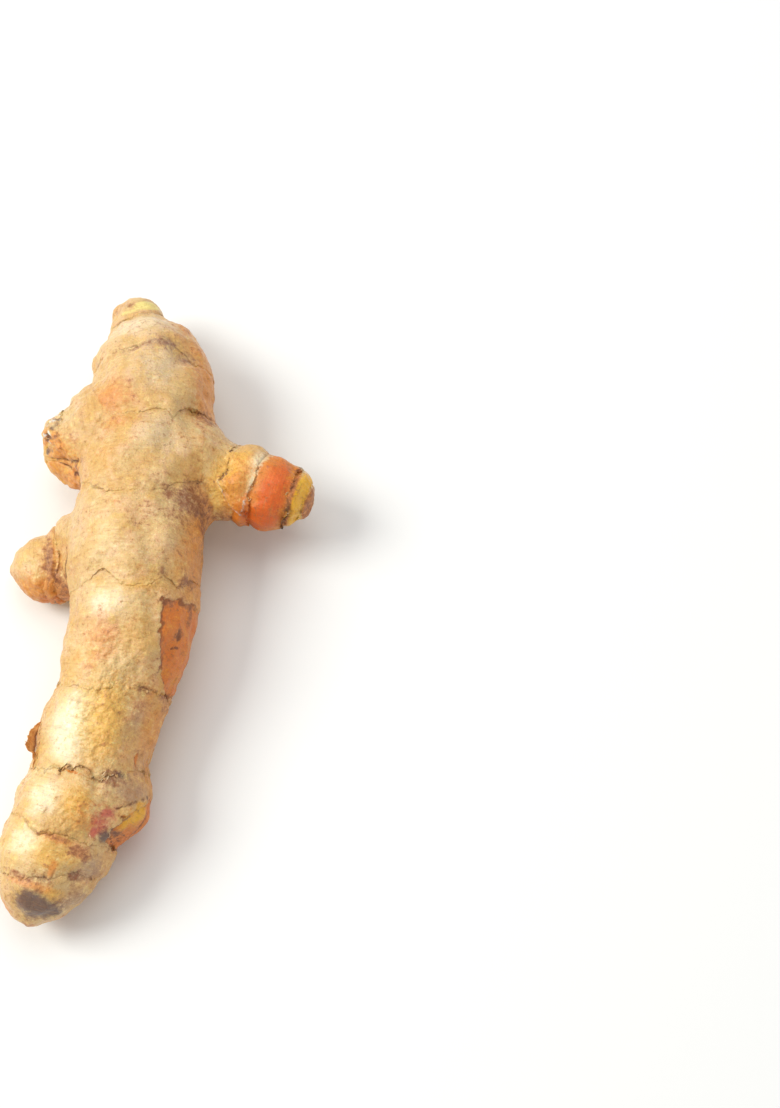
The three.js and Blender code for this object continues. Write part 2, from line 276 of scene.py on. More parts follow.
# A limb as a grid of rows along it and angles round it. Each row is pushed forward to follow the
# edges of the scales, and stands off the axis by the plain radius and the height of the edges.
def limbGrid(limb, axis):
    angles = np.arange(limb["sides"]) * 360 / limb["sides"]
    place, angle = np.meshgrid(rowsOf(limb, axis["length"]), angles, indexing="ij")
    along, raised = place.copy(), np.zeros_like(place)
    for number, ring in enumerate(limb["rings"]):
        seed = limb["seed"] + 7 * number
        past = place - ring["at"]
        height, drawn = edgeSection(past)
        edge, teeth = ringEdge(ring, angle, seed)
        strength = ringStrength(ring, angle, seed)
        along += edge * np.exp(-(past / scaleEdge["reach"])**2) + strength * drawn
        along += teeth * np.exp(-(past / scaleEdge["jagReach"])**2)
        raised += strength * height
    nearEnd = np.clip(np.minimum(place, axis["length"] - place) / 3, 0, 1)
    along = np.clip(place + (along - place) * nearEnd, 0, axis["length"])
    radius = plainRadius(limb, axis, place, angle) + raised * nearEnd
    turn = np.radians(angle)[..., None]
    outward = onAxis(axis, "side", along) * np.cos(turn) + onAxis(axis, "over", along) * np.sin(turn)
    return onAxis(axis, "centre", along) + outward * radius[..., None], outward


# Nearest place on a limb's axis to each point: distance along, angle round and distance off it.
def locate(axis, points):
    flat = points.reshape(-1, 3)
    centre = axis["centre"]
    found = [
        ((centre**2).sum(1) - 2 * part @ centre.T).argmin(1)
        for part in np.array_split(flat, max(1, len(flat) // 8000))
    ]
    nearest = np.concatenate(found)
    off = flat - centre[nearest]
    ahead = (off * axis["forward"][nearest]).sum(1)
    along = axis["along"][nearest] + ahead
    across, up = (off * axis["side"][nearest]).sum(1), (off * axis["over"][nearest]).sum(1)
    beyond = np.where((nearest == 0) | (nearest == len(centre) - 1), ahead, 0)
    distance = np.sqrt(across**2 + up**2 + beyond**2)
    angle = np.degrees(np.arctan2(up, across)) % 360
    return [values.reshape(points.shape[:-1]) for values in (along, angle, distance)]


# How far points stand outside a limb's plain form; negative is inside.
def outside(limb, axis, points):
    along, angle, distance = locate(axis, points)
    return distance - plainRadius(limb, axis, np.clip(along, 0, axis["length"]), angle)


# Two limbs run together in a fillet: a point of one is pushed outwards until the smooth minimum of
# both distances is nil. Past the middle of the fillet it dives under the other limb instead.
def fillet(points, outward, other, otherAxis, width, most=3.2):
    gap = outside(other, otherAxis, points)
    near = gap < width
    start, way = points[near], outward[near]
    pushed = np.zeros(len(start))
    for _ in range(7):
        gap = outside(other, otherAxis, start + way * pushed[:, None])
        blend = np.clip(width - np.abs(pushed - gap), 0, None) / width
        pushed = np.clip(pushed - 0.7 * (np.minimum(pushed, gap) - blend**2 * width / 4), 0, most)
    gap = outside(other, otherAxis, start + way * pushed[:, None])
    pushed = pushed - 0.6 * np.clip(pushed - gap, 0, 3)
    moved = points.copy()
    moved[near] = start + way * pushed[:, None]
    return moved


# A closed grid as triangles, with a point at each end.
def tubeTriangles(rows, sides):
    row, k = np.meshgrid(np.arange(rows - 1), np.arange(sides), indexing="ij")
    a, b = row * sides + k, row * sides + (k + 1) % sides
    c, d = a + sides, b + sides
    skin = np.concatenate([np.stack([a, b, d], -1), np.stack([a, d, c], -1)]).reshape(-1, 3)
    k = np.arange(sides)
    after, last = (k + 1) % sides, (rows - 1) * sides
    start = np.stack([np.full(sides, rows * sides), after, k], -1)
    tip = np.stack([np.full(sides, rows * sides + 1), last + k, last + after], -1)
    return np.vstack([skin, start, tip])


# A new object in the scene, for a mesh, a lamp or a camera.
def placed(name, data):
    made = bpy.data.objects.new(name, data)
    bpy.context.scene.collection.objects.link(made)
    return made


def meshFrom(name, points, faces):
    mesh = bpy.data.meshes.new(name)
    mesh.from_pydata((points * mm).tolist(), [], faces.tolist())
    mesh.update()
    mesh.shade_smooth()
    return placed(name, mesh)


def appliedMesh(piece):
    bpy.context.view_layer.update()
    shaped = piece.evaluated_get(bpy.context.evaluated_depsgraph_get())
    return bpy.data.meshes.new_from_object(shaped)


# Rows of three values read from a list of the mesh.
def threes(items, key):
    values = np.empty(len(items) * 3)
    items.foreach_get(key, values)
    return values.reshape(-1, 3)


def pointsOf(mesh):
    return threes(mesh.vertices, "co") / mm


def normalsOf(mesh):
    return threes(mesh.vertex_normals, "vector")


def setPoints(mesh, points):
    mesh.vertices.foreach_set("co", (points * mm).ravel())
    mesh.update()


# Evens out points towards the middle of their neighbours, by a weight for each.
def smoothed(mesh, points, weight, rounds):
    edges = np.empty(len(mesh.edges) * 2, np.int64)
    mesh.edges.foreach_get("vertices", edges)
    first, second = edges.reshape(-1, 2).T
    size = len(points)
    count = np.bincount(first, minlength=size) + np.bincount(second, minlength=size)
    for _ in range(rounds):
        total = np.stack([
            np.bincount(first, axis[second], size) + np.bincount(second, axis[first], size)
            for axis in points.T
        ], -1)
        points = points + weight[:, None] * (total / np.maximum(count, 1)[:, None] - points)
    return points


# The break on the stub: what lies past the plane is laid back on it, with torn fibre as noise.
def breakOff(points, limb):
    facing = np.array(limb["breakFacing"])
    facing = facing / np.linalg.norm(facing)
    past = (points - np.array(limb["breakAt"])) @ facing
    torn = 0.3 * lumps(points, 4.4, 41) + 0.05 * lumps(points, 1.3, 42)
    over = past - torn
    soft = 0.5 * (over + np.sqrt(over**2 + 0.25))
    return points - facing * soft[..., None]


axes = {name: axisOf(limb) for name, limb in limbs.items()}
# The limbs that each limb runs into.
junctions = {
    "main": ("right", "left", "stub"), "right": ("main",), "left": ("main", "stub"), "stub": ("main", "left"),
}


def filletWidth(one, other):
    return min(limbs[name]["fillet"] for name in (one, other) if name != "main")


def limbPiece(name):
    limb = limbs[name]
    points, outward = limbGrid(limb, axes[name])
    for other in junctions[name]:
        points = fillet(points, outward, limbs[other], axes[other], filletWidth(name, other))
    rows, sides = points.shape[:2]
    ends = axes[name]["centre"][[0, -1]]
    points = np.vstack([points.reshape(-1, 3), ends])
    if "breakAt" in limb:
        points = breakOff(points, limb)
    return meshFrom("limb_" + name, points, tubeTriangles(rows, sides))


print("growing the limbs")
grown = {name: limbPiece(name) for name in limbs}
body = grown["main"]
for name in ("right", "left", "stub"):
    join = body.modifiers.new("join_" + name, "BOOLEAN")
    join.operation = "UNION"
    join.solver = "MANIFOLD"
    join.object = grown[name]
skinMesh = appliedMesh(body)
for piece in grown.values():
    bpy.data.objects.remove(piece)
print("joined:", len(skinMesh.vertices), "points")

root = placed("rhizome_skin", skinMesh)

# Relief and finish zones, for each limb, painted light and shade among them. A mark is a bell-shaped
# spot: its place along the limb, its angle round it, its half length, half width and strength.
skinMarks = {
    "blush": {
        # The marks near angle 20 lie along the main finger's right edge: the skin's orange with painted warm
        # reflected light in it.
        "main": [
            (25.6, 118, 3.4, 4.6, 0.85), (68.5, 108, 5.5, 4.2, 0.6), (30.4, 112, 1.8, 4.5, 0.55),
            (22.5, 22, 7, 3.4, 0.95), (51, 17, 7, 2.6, 0.7), (45, 106, 1.6, 1.4, 0.4),
            (76, 165, 9, 3, 0.2), (79.5, 12, 4.5, 2.2, 0.6), (97, 60, 2.4, 3.5, 0.6),
            (71.5, 128, 1.4, 1.2, 0.7), (55.6, 78, 1, 1, 0.5), (34.5, 95, 2, 1.6, 0.35),
            (105.2, 72, 1.5, 0.6, 1.3), (97, 150, 9, 2.4, 0.25), (108.4, 90, 0.9, 3.6, 1),
            (50, 66, 1.6, 1.4, 0.3), (32, 20, 5, 3, 0.5), (11.5, 34, 4.5, 2, 0.5),
            (101, 76, 0.8, 4, 1), (101.7, 50, 1, 2, 1), (115, 74, 0.6, 1.2, 1.1),
            (112.4, 150, 1.6, 1.2, 0.9), (77, 40, 6, 3, 0.5),
        ],
        "right": [(17, 125, 2.4, 7, 0.95), (21.5, 60, 3, 4, 0.8)],
        "left": [(16, 22, 6, 3.2, 1.1), (13, 70, 2, 4, 0.5), (17, 26, 5, 2.2, 1.5)],
        "stub": [(15, 62, 3.4, 4, 0.75), (14, 32, 2.4, 1.2, 0.9)],
    },
    "yellow": {
        "main": [
            (81, 78, 8.5, 4.4, 0.95), (103.4, 80, 2.8, 5, 0.8), (109, 55, 1.3, 2.4, 1.1),
            (32, 50, 2.5, 3.5, 0.35), (95, 78, 4, 3.6, 0.7), (58.5, 80, 1.2, 4, 0.5),
            (53, 38, 4, 3, 0.35), (64, 72, 5, 3.4, 0.35), (37, 118, 5, 4, 0.35),
        ],
        "right": [(15.4, 110, 3.4, 7, 1.2), (18.2, 150, 2, 2.5, 0.8)],
        "stub": [(16, 70, 2.4, 3.6, 0.8)],
    },
    "peel": {
        "main": [
            (90.7, 92, 0.35, 2.4, 0.75), (93.6, 16, 1.9, 2.2, 0.8), (97.5, 5, 1.5, 1.6, 0.7),
            (42, 272, 3, 2.4, 0.5), (85.2, 29, 1.3, 0.5, 0.95),
        ],
        "right": [
            (22.8, 118, 3.3, 9.5, 1.7), (20.8, 165, 3.4, 5.5, 1.5), (22.5, 230, 3, 8, 1.2),
            (28.8, 115, 1.2, 4.5, 1),
        ],
        "left": [(17, 352, 4, 3, 0.7)],
    },
    # Painted warm reflected light and shade: an orange-red tone on the flanks and undersides turned away from
    # the key light, standing for orange light bounced off neighbouring roots. The mark on the plump side
    # finger is painted shade under its base.
    "paintedWarmBounce": {
        "main": [
            (20, 5, 12, 7, 1), (50, 4, 16, 7.5, 1.3), (80, 8, 12, 6, 0.9),
            (102, 10, 8, 4, 0.5), (70, 300, 60, 7, 0.6),
        ],
        "right": [(12, 215, 7, 5, 0.9)],
        "left": [(14.5, 60, 2, 9, 0.8), (16, 10, 8, 4.5, 0.8)],
        "stub": [(14, 330, 6, 6, 0.7)],
    },
    "stainsAndShade": {
        "main": [
            (15.7, 98, 0.8, 5.6, 0.6), (15.5, 66, 1.7, 3.3, 0.6), (17.4, 46, 1.3, 3, 0.5),
            (27.4, 22, 2.2, 2.6, 1), (28.4, 8, 2.4, 2.2, 0.9), (42.2, 58, 1.4, 2.8, 0.9),
            (42.8, 34, 3.2, 4.2, 1), (45, 10, 3.8, 3, 0.9), (46.6, 50, 2.2, 3.4, 0.5),
            (56.2, 59, 1, 1.3, 1), (56.4, 34, 1.5, 1.6, 0.95), (57, 20, 1.6, 2, 0.7),
            (74.3, 48, 0.8, 1.8, 0.9), (74.6, 14, 2.2, 2, 0.8), (89.3, 50, 1.3, 2.2, 1),
            (101.5, 52, 1.1, 2.6, 1), (100.9, 76, 0.7, 3.4, 0.8), (107.8, 102, 0.6, 3.4, 0.95),
            (107, 79, 0.6, 1.8, 0.95), (105.2, 46, 1.2, 1.5, 0.9), (3.4, 100, 0.7, 1, 1),
            (115.2, 84, 0.8, 1.4, 0.8), (64.4, 31, 1.1, 0.9, 0.9), (61.6, 18, 1.2, 0.8, 0.95),
            (69.5, 40, 2.8, 0.4, 0.8), (66.8, 46, 3.6, 0.3, 0.7), (84.4, 29, 1.2, 0.5, 0.7),
            (60.6, 50, 0.6, 1.6, 1), (60, 24, 0.7, 3, 0.9), (96.5, 300, 4, 4, 0.6),
            (50, 345, 6, 3, 0.6), (20, 335, 6, 3, 0.5), (89.2, 56, 1, 1.6, 1),
            (97, 18, 1.2, 3, 0.7),
        ],
        # On the plump side finger, the mark at 13 along and 190 round is painted shade under its base, below
        # the pale edge.
        "right": [(25.5, 120, 0.5, 7, 1.1), (28.9, 115, 1.1, 4.2, 1.4), (13, 190, 5, 3.4, 0.9)],
        "left": [(14.8, 84, 1.6, 5, 0.95), (13.4, 50, 1.6, 3.4, 0.9), (13.5, 20, 2, 2, 0.7)],
        "stub": [(16.6, 112, 1.5, 2.6, 0.6), (12.6, 40, 0.9, 1, 1.1)],
    },
    "dull": {
        "main": [
            (90.4, 28, 2.6, 4.6, 1), (79, 48, 5, 2.6, 0.7), (103, 28, 2.6, 3.4, 0.9),
            (109, 22, 3.4, 3, 0.95), (105.2, 42, 1.3, 1.5, 0.9), (86, 20, 4, 3, 0.6),
            (43.4, 36, 3.2, 5, 1), (15.7, 70, 1.2, 4.2, 1), (17.6, 46, 1.4, 3.2, 0.9),
        ],
        "left": [(14.6, 84, 1.4, 4.6, 0.7)],
        "stub": [(12, 96, 3, 4, 0.3)],
    },
    "bruise": {"main": [
        (110.9, 84, 2, 2.2, 1.4), (111.4, 65, 1.9, 2.6, 1.4), (111.5, 46, 1.1, 2.4, 1.2),
        (112.8, 78, 1.3, 1.2, 0.9), (98, 32, 0.9, 1.3, 1.35), (44.4, 22, 2, 2.6, 0.4),
        (16.6, 60, 0.9, 1.4, 0.3), (88.6, 41, 0.5, 1.4, 0.9), (47, 3, 2.6, 2, 0.5),
        (97, 26, 0.8, 1.6, 0.7),
    ]},
    "pink": {"main": [(94.7, 45, 0.9, 1, 1.1), (98, 48, 1.2, 0.8, 0.9), (96, 47, 2.6, 2.4, 0.6)]},
    "pale": {
        # The marks at 62 to 103 along and 104 to 110 round, on the lit upper left of the main finger, are
        # partly the skin's paler tone and partly painted highlight.
        "main": [
            (20, 74, 5.5, 6, 0.6), (33.5, 70, 5, 6.5, 0.5), (10.5, 88, 3.4, 9, 0.85),
            (103.3, 33, 2.2, 2.6, 0.5), (50.5, 55, 3, 3.4, 0.4), (62, 104, 3.5, 4.5, 0.7),
            (84, 108, 6.5, 3.8, 1.1), (96, 108, 3.4, 3.6, 0.8), (103.2, 110, 2.6, 3.4, 0.8),
            (83, 45, 5, 4, 0.3),
        ],
        "right": [(18.8, 68, 1.7, 3.2, 1.1), (18.9, 120, 0.45, 4.6, 1)],
        "left": [(20.5, 80, 3, 4, 0.4)],
    },
    "flesh": {"main": [(4.3, 60, 1.3, 2.4, 1.3), (5.2, 100, 0.8, 3, 0.7)]},
    "gold": {
        "main": [(92.8, 14, 2.8, 2, 0.9), (94.8, 22, 2.4, 1.4, 0.8)],
        "right": [(27, 115, 1, 8.5, 1.7)],
    },
    # Where the skin is glossier, and painted highlight too: it raises the coat and lifts the colour towards
    # white on the lit upper left.
    "glossAndHighlight": {
        "main": [
            (83, 116, 8, 3.6, 1), (95, 116, 4, 3, 0.9), (103, 120, 3.5, 3, 0.9),
            (60.5, 108, 2.5, 3, 0.6), (50, 112, 4, 3, 0.4), (72, 122, 4, 3, 0.4),
        ],
        "left": [(19, 95, 3, 3, 0.4)],
    },
    "warty": {
        "main": [
            (77, 92, 6, 5, 1), (84, 76, 7, 4, 0.7), (70, 84, 4, 4, 0.6),
            (97, 84, 4, 5, 0.6), (59, 66, 2, 4, 0.4), (42.5, 84, 1.5, 2, 0.5),
        ],
        "right": [(15.5, 120, 3, 6, 0.9)],
        "left": [(19, 60, 3, 4, 0.5)],
        "stub": [(15, 70, 4, 4, 0.3)],
    },
}
# A stroke is a line between two places of a limb, each its distance along and its angle round, with
# a width and a strength. These are cracks and lines of the skin.
skinStrokes = [
    ("right", (13.2, 70), (14, 50), 0.15, 1.1), ("right", (13.9, 116), (14.6, 96), 0.15, 1.1),
    ("main", (84, 34), (86.3, 28), 0.14, 0.8), ("main", (64, 31), (65.2, 29), 0.4, 1),
    ("main", (66.7, 33), (66.2, 25), 0.2, 1.2), ("main", (66, 46), (69.6, 38), 0.14, 0.5),
    ("main", (97.2, 32), (98.4, 14), 0.18, 1), ("main", (96.8, 24), (97.6, 6), 0.16, 0.9),
    ("main", (96.4, 16), (96.8, 0), 0.16, 0.8), ("main", (93.6, 37), (91.3, 23), 0.2, 1),
    ("main", (91.3, 23), (89.4, 4), 0.2, 1), ("main", (68.4, 44), (70, 40), 0.14, 0.9),
    ("main", (82.6, 164), (91.8, 143), 0.16, 0.9), ("main", (91, 3), (97.4, -5), 0.35, 0.8),
]
# The pale raised edge at the base of the plump side finger, and the ridge further along it.
paleEdges = [
    ("right", (13.5, 117), (15.5, 136), 0.22, 1), ("right", (15.5, 136), (18.8, 158), 0.22, 1),
    ("right", (19, 96), (18.8, 152), 0.24, 0.9),
]
# Folds of the broken face on the stub, and the ragged line where its skin was torn, as strokes.
stubFolds = [
    ("stub", (17.9, 46), (15, 45), 0.42, 0.8), ("stub", (15, 45), (11.4, 52), 0.42, 1),
    ("stub", (16.4, 28), (14.3, 22), 0.5, 0.9), ("stub", (14.3, 22), (12, 38), 0.5, 1),
]
stubTear = [("stub", (14.4, 152), (17.6, 84), 1.25, 1)]
# The torn place on the right flank: where along the finger it starts and ends, and its left edge as
# pairs of place and angle. The bud scar near the tip is given the same way.
tornPlaces = [
    {"from": 59.9, "to": 73.6, "low": -28, "depth": 0.3,
     "edge": [(60, 57), (66.3, 50), (70.5, 39), (73.4, 22)]},
    {"from": 89.4, "to": 99, "low": -46, "depth": 0.35,
     "edge": [(89.4, 0), (91.5, 14), (93.9, 27), (97.9, 31), (99, 22)]},
]
relief = {"swell": 0.2, "dimple": 0.1, "grain": 0.035, "wart": 0.16, "wartSize": 0.36, "warts": 2600}


# Where each point of the skin is on each limb, and how much it belongs to that limb.
def placesOn(points):
    places = {}
    for name, limb in limbs.items():
        along, angle, distance = locate(axes[name], points)
        inside = np.clip(along, 0, axes[name]["length"])
        radius = plainRadius(limb, axes[name], inside, angle)
        girth = onAxis(axes[name], "girth", inside)[..., 0]
        places[name] = {"along": along, "angle": angle, "girth": girth, "gap": distance - radius}
    closest = np.min([place["gap"] for place in places.values()], axis=0)
    for place in places.values():
        place["own"] = np.exp(-np.clip(place["gap"] - closest, 0, None) / 0.5)
    return places


# How far points lie from an angle of their limb, in millimetres round it.
def roundFrom(place, angle):
    return np.radians(degreesFrom(place["angle"], angle)) * place["girth"]


# Bells of a channel over the skin: each falls off from its middle along and round its limb.
def paintedMarks(places, channel):
    total = 0
    for limb, marks in skinMarks[channel].items():
        place = places[limb]
        for at, angle, length, width, strength in marks:
            across = roundFrom(place, angle)
            bell = np.exp(-((place["along"] - at) / length)**2 - (across / width)**2)
            total = np.maximum(total, strength * bell * place["own"])
    return total


# Strokes: a bell of the distance to a line between two places on a limb.
def paintedStrokes(places, strokes):
    total = 0
    for limb, (startAt, startAngle), (endAt, endAngle), width, strength in strokes:
        place = places[limb]
        ahead = place["along"] - startAt
        across = roundFrom(place, startAngle)
        wayAhead, wayAcross = endAt - startAt, np.radians(endAngle - startAngle) * place["girth"]
        share = np.clip((ahead * wayAhead + across * wayAcross) / (wayAhead**2 + wayAcross**2), 0, 1)
        off = np.hypot(ahead - share * wayAhead, across - share * wayAcross)
        total = np.maximum(total, strength * np.exp(-(off / width)**2) * place["own"])
    return total


# A torn place: how far inside its outline each point is, in millimetres, with a ragged edge.
def tornInside(place, torn, points):
    leftEdge = np.interp(place["along"], *zip(*torn["edge"]))
    angle = degreesFrom(place["angle"], 0)
    fromLeft = np.radians(leftEdge - angle) * place["girth"]
    fromLow = np.radians(angle - torn["low"]) * place["girth"]
    within = np.minimum.reduce([
        fromLeft, fromLow, place["along"] - torn["from"], torn["to"] - place["along"],
    ])
    return np.where(place["own"] > 0.3, within + 0.22 * lumps(points, 1.6, 61), -9)


# Dark lines along the scale edges, a brown scar line with painted shadow under the overhanging edge,
# and how fresh the skin is just below them.
def ringLines(places):
    cracksAndShade, fresh = 0, 0
    for name, limb in limbs.items():
        place = places[name]
        for number, ring in enumerate(limb["rings"]):
            seed = limb["seed"] + 7 * number
            edge, teeth = ringEdge(ring, place["angle"], seed)
            past = place["along"] - ring["at"] - edge - teeth
            strength = ringStrength(ring, place["angle"], seed) * place["own"]
            line = ring.get("line", 1) * np.minimum(strength, 0.9)
            cracksAndShade = np.maximum(cracksAndShade, line * np.exp(-((past - 0.1) / 0.16)**2))
            fresh = np.maximum(fresh, strength * np.exp(-np.clip(past, 0, None) / 1.1) * (past > 0))
    return cracksAndShade, fresh


# Warts: bells at seeded points of the skin, more and higher where it is warty.
def wartHeight(points, warty):
    draw = np.random.default_rng(71)
    chance = warty + 0.03
    chosen = draw.choice(len(points), relief["warts"], p=chance / chance.sum(), replace=False)
    size = relief["wartSize"] * draw.uniform(0.6, 1.5, len(chosen))
    height = draw.uniform(-0.7, 1, len(chosen))
    tops = points[chosen]
    heights = []
    for part in np.array_split(points, max(1, len(points) // 4000)):
        apart = (part**2).sum(1)[:, None] + (tops**2).sum(1) - 2 * part @ tops.T
        heights.append((height * np.exp(-np.clip(apart, 0, None) / size**2)).sum(1))
    return np.concatenate(heights)


points = pointsOf(skinMesh)
places = placesOn(points)
seam = np.max([
    np.exp(-((places["main"]["gap"] - places[name]["gap"]) / 0.9)**2) * (np.abs(places[name]["gap"]) < 4)
    for name in ("right", "left", "stub")
], axis=0)
points = smoothed(skinMesh, points, 0.5 * seam, 6)
setPoints(skinMesh, points)
places = placesOn(points)

print("painting the skin")
paint = {channel: paintedMarks(places, channel) for channel in skinMarks}


# Adds to a channel of the paint: the greater of the two amounts counts at each point.
def lay(channel, amount):
    paint[channel] = np.maximum(paint.get(channel, 0), amount)


paint["cracksAndShade"], paint["fresh"] = ringLines(places)
lay("cracksAndShade", paintedStrokes(places, skinStrokes))
for torn in tornPlaces:
    within = tornInside(places["main"], torn, points)
    torn["recess"] = np.clip(within / 0.5 + 0.5, 0, 1) * torn["depth"]
    torn["rim"] = 0.12 * np.exp(-(within / 0.4 + 0.6)**2)
    lay("peel", 0.95 * np.clip(within / 0.6 + 0.5, 0, 1))
    lay("rim", np.exp(-((within - 0.15) / 0.35)**2))

# Painted shade: a dark crease where the short side finger and the stub meet the main finger, from a
# place of it on.
for name, start, strength in (("left", 49.5, 1), ("stub", 34, 0.8)):
    between = places["main"]["gap"] - places[name]["gap"]
    near = (np.abs(places[name]["gap"]) < 3) * np.clip((places["main"]["along"] - start) / 2, 0, 1)
    lay("cracksAndShade", strength * near * np.exp(-(between / 0.3)**2))

# The broken face of the stub: bare flesh with deep folds, and a ragged tear of grey and white skin.
stubFacing = np.array(brokenFinger["breakFacing"]) / np.linalg.norm(brokenFinger["breakFacing"])
short = -((points - np.array(brokenFinger["breakAt"])) @ stubFacing)
onStub = (places["stub"]["own"] > 0.2) * np.clip((places["stub"]["along"] - 9.5) / 1.5, 0, 1)
bare = onStub * np.clip(1.6 - short, 0, 1)
folds = paintedStrokes(places, stubFolds)
tear = paintedStrokes(places, stubTear)
tatter = lumps(points, 1.5, 66)
lay("yellow", 0.7 * bare)
lay("blush", 0.7 * bare * np.clip(0.5 + lumps(points, 3, 65), 0, 1))
lay("cracksAndShade", 1.1 * folds**2)
lay("stainsAndShade", 0.9 * folds)
lay("bruise", 1.1 * tear * np.clip(tatter, 0, 1))
lay("white", tear * np.clip(-1.5 * tatter - 0.3, 0, 1))
ridges = paintedStrokes(places, paleEdges)
lay("pale", 1.3 * ridges)
lay("white", 0.5 * ridges)

raised = relief["swell"] * lumps(points, 9, 51) + relief["dimple"] * lumps(points, 3.4, 52)
raised += relief["grain"] * lumps(points, 1.3, 53) * (1 + 2 * paint["warty"])
raised += bare * 0.08 * lumps(points, 1.7, 67) - 0.5 * folds + tear * (0.2 - 0.3 * np.clip(tatter, -1, 1))
raised += 0.22 * ridges
raised += relief["wart"] * wartHeight(points, paint["warty"]) * (0.4 + paint["warty"])
raised += sum(torn["rim"] - torn["recess"] for torn in tornPlaces) - 0.12 * np.clip(paint["cracksAndShade"], 0, 1)
points = points + normalsOf(skinMesh) * raised[:, None]
points[:, 2] = np.maximum(points[:, 2], 0)
low, high = np.array(cadBox[0]) / mm, np.array(cadBox[1]) / mm
points = np.clip(points, low - 0.3, high + 0.3)
setPoints(skinMesh, points)

# Grain: the place along the limb and the two ways across it, so that a pattern follows the limb.
grain = np.zeros((len(points), 3))
mostOwn = np.argmax([places[name]["own"] for name in limbs], axis=0)
for number, name in enumerate(limbs):
    turn = np.radians(places[name]["angle"])
    across = places[name]["girth"] * np.stack([np.cos(turn), np.sin(turn)])
    along = places[name]["along"] + 200 * number
    grain = np.where((mostOwn == number)[:, None], np.stack([along, *across], -1), grain)
skinMesh.attributes.new("grain", "FLOAT_VECTOR", "POINT").data.foreach_set("vector", grain.ravel())
for channel, amount in paint.items():
    skinMesh.attributes.new(channel, "FLOAT", "POINT").data.foreach_set("value", amount)


# Wraps a socket, so that arithmetic on it adds Math nodes.
class Wire:
    def __init__(self, tree, socket=None):
        self.tree, self.socket = tree, socket

    # Values or links for the inputs of a node.
    def feed(self, made, sockets):
        for key, value in sockets.items():
            if isinstance(value, Wire):
                self.tree.links.new(value.socket, made.inputs[key])
            else:
                made.inputs[key].default_value = value

    # Any node: its type, the settings set first, and what its inputs take.
    def node(self, kind, settings={}, sockets={}, out=0):
        made = self.tree.nodes.new(kind)
        for key, value in settings.items():
            setattr(made, key, value)
        self.feed(made, sockets)
        return Wire(self.tree, made.outputs[out])

    def maths(self, operation, other):
        return self.node("ShaderNodeMath", {"operation": operation}, {0: self, 1: other})

    def __add__(self, other):
        return self.maths("ADD", other)

    def __sub__(self, other):
        return self.maths("SUBTRACT", other)

    def __mul__(self, other):
        return self.maths("MULTIPLY", other)

    __radd__, __rmul__ = __add__, __mul__

    # A soft step: 0 below the low value and 1 above the high one.
    def step(self, low, high):
        sockets = {"Value": self, "From Min": low, "From Max": high}
        return self.node("ShaderNodeMapRange", {"interpolation_type": "SMOOTHSTEP"}, sockets)

    # A vector stretched along its three ways.
    def stretched(self, way):
        return self.node("ShaderNodeVectorMath", {"operation": "MULTIPLY"}, {0: self, 1: way})

    # Two colours mixed by a factor.
    def mix(self, factor, under, over, blend="MIX"):
        settings = {"data_type": "RGBA", "blend_type": blend, "clamp_factor": True}
        return self.node("ShaderNodeMix", settings, {0: factor, 6: under, 7: over}, out=2)

    def noise(self, scale, detail, roughness=0.55):
        sockets = {"Vector": self, "Scale": scale, "Detail": detail, "Roughness": roughness}
        return self.node("ShaderNodeTexNoise", sockets=sockets)

    def bump(self, height):
        sockets = {"Strength": 1, "Distance": mm, "Height": height}
        return self.node("ShaderNodeBump", sockets=sockets)

    def attribute(self, name, out="Fac"):
        return self.node("ShaderNodeAttribute", {"attribute_name": name}, out=out)

    # The place on the object, in millimetres.
    def place(self):
        return self.node("ShaderNodeTexCoord", out="Object").stretched((1000, 1000, 1000))


# A material with its shader, and a wire that adds nodes to it.
def newMaterial(name):
    material = bpy.data.materials.new(name)
    material.use_nodes = True
    tree = material.node_tree
    return material, tree.nodes["Principled BSDF"], Wire(tree)


# Colours of the skin and flesh, and of the light and shade painted on it, as linear light.
skinColours = {
    "tan": (0.74, 0.49, 0.21, 1), "ochre": (0.7, 0.4, 0.12, 1), "pinkTan": (0.78, 0.47, 0.26, 1),
    "pale": (0.9, 0.73, 0.48, 1), "orange": (0.74, 0.22, 0.022, 1), "redOrange": (0.74, 0.1, 0.006, 1),
    "yellow": (0.86, 0.43, 0.035, 1), "flesh": (0.88, 0.72, 0.24, 1), "brown": (0.27, 0.085, 0.025, 1),
    "mauve": (0.36, 0.17, 0.1, 1), "bruise": (0.13, 0.07, 0.06, 1), "pink": (0.6, 0.06, 0.07, 1),
    "cracksAndShade": (0.19, 0.055, 0.013, 1), "speck": (0.33, 0.13, 0.035, 1), "shade": (0.47, 0.2, 0.04, 1),
    "paintedWarmBounce": (0.74, 0.28, 0.045, 1), "dull": (0.38, 0.22, 0.14, 1), "white": (0.9, 0.86, 0.78, 1),
    "gold": (0.92, 0.46, 0.02, 1), "lift": (1, 0.96, 0.86, 1),
}
